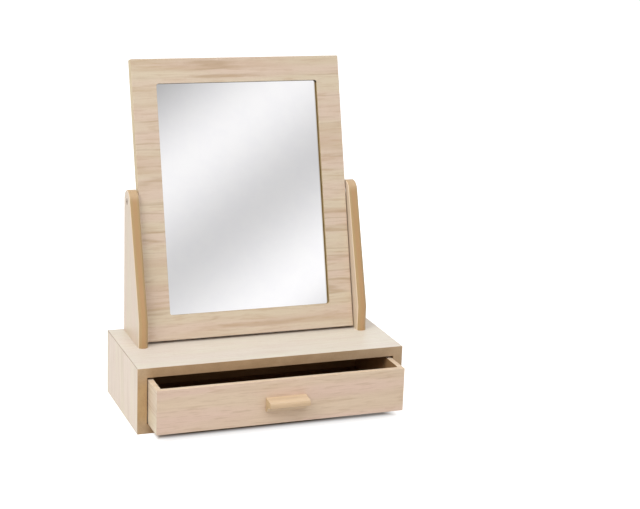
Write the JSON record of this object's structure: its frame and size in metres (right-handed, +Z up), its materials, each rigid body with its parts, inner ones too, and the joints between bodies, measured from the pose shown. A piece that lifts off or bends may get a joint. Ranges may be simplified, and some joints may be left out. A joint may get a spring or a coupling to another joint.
{
  "type": "dressing table mirror",
  "caption": "Tabletop dressing mirror: a framed mirror that tilts between two posts on a low wooden box with a drawer.",
  "frame": {"origin": "on the ground, under the middle of the box", "axes": "+X along the front from left to right, +Y from the front to the back, +Z up"},
  "size_m": [0.28, 0.2004, 0.3477],
  "materials": {
    "veneer": "pale ash-like veneer with a satin lacquer",
    "post_board": "pale veneered faces with lacquered ochre edges",
    "solid_wood": "satin lacquered solid wood",
    "hardboard": "raw brown hardboard",
    "mirror": "silvered glass",
    "steel": "zinc-plated steel",
    "nylon": "matt nylon"
  },
  "bodies": {
    "base": {"carcass_top": "veneer", "carcass_bottom": "veneer", "carcass_left": "veneer", "carcass_right": "veneer", "carcass_back": "hardboard", "back_pins": "steel", "left_post": "post_board", "right_post": "post_board", "post_screws": "steel"},
    "mirror": {"mirror_frame": "veneer", "mirror_glass": "mirror", "mirror_backing": "hardboard", "backing_screws": "steel", "left_pivot_screw": "steel", "right_pivot_screw": "steel", "left_pivot_washer": "nylon", "right_pivot_washer": "nylon"},
    "drawer": {"drawer_front": "veneer", "drawer_left_side": "veneer", "drawer_right_side": "veneer", "drawer_back": "veneer", "drawer_bottom": "hardboard", "drawer_pins": "steel", "drawer_handle": "solid_wood", "handle_screws": "steel"}
  },
  "joints": [
    {"name": "mirror_tilt", "type": "hinge", "parent": "base", "child": "mirror", "pos_m": [0, 0.048, 0.20798], "axis": [-1, 0, 0], "range_deg": [0, 156]},
    {"name": "drawer_slide", "type": "slide", "parent": "base", "child": "drawer", "axis": [0, -1, 0], "range_m": [-0.032, 0.055]}
  ]
}
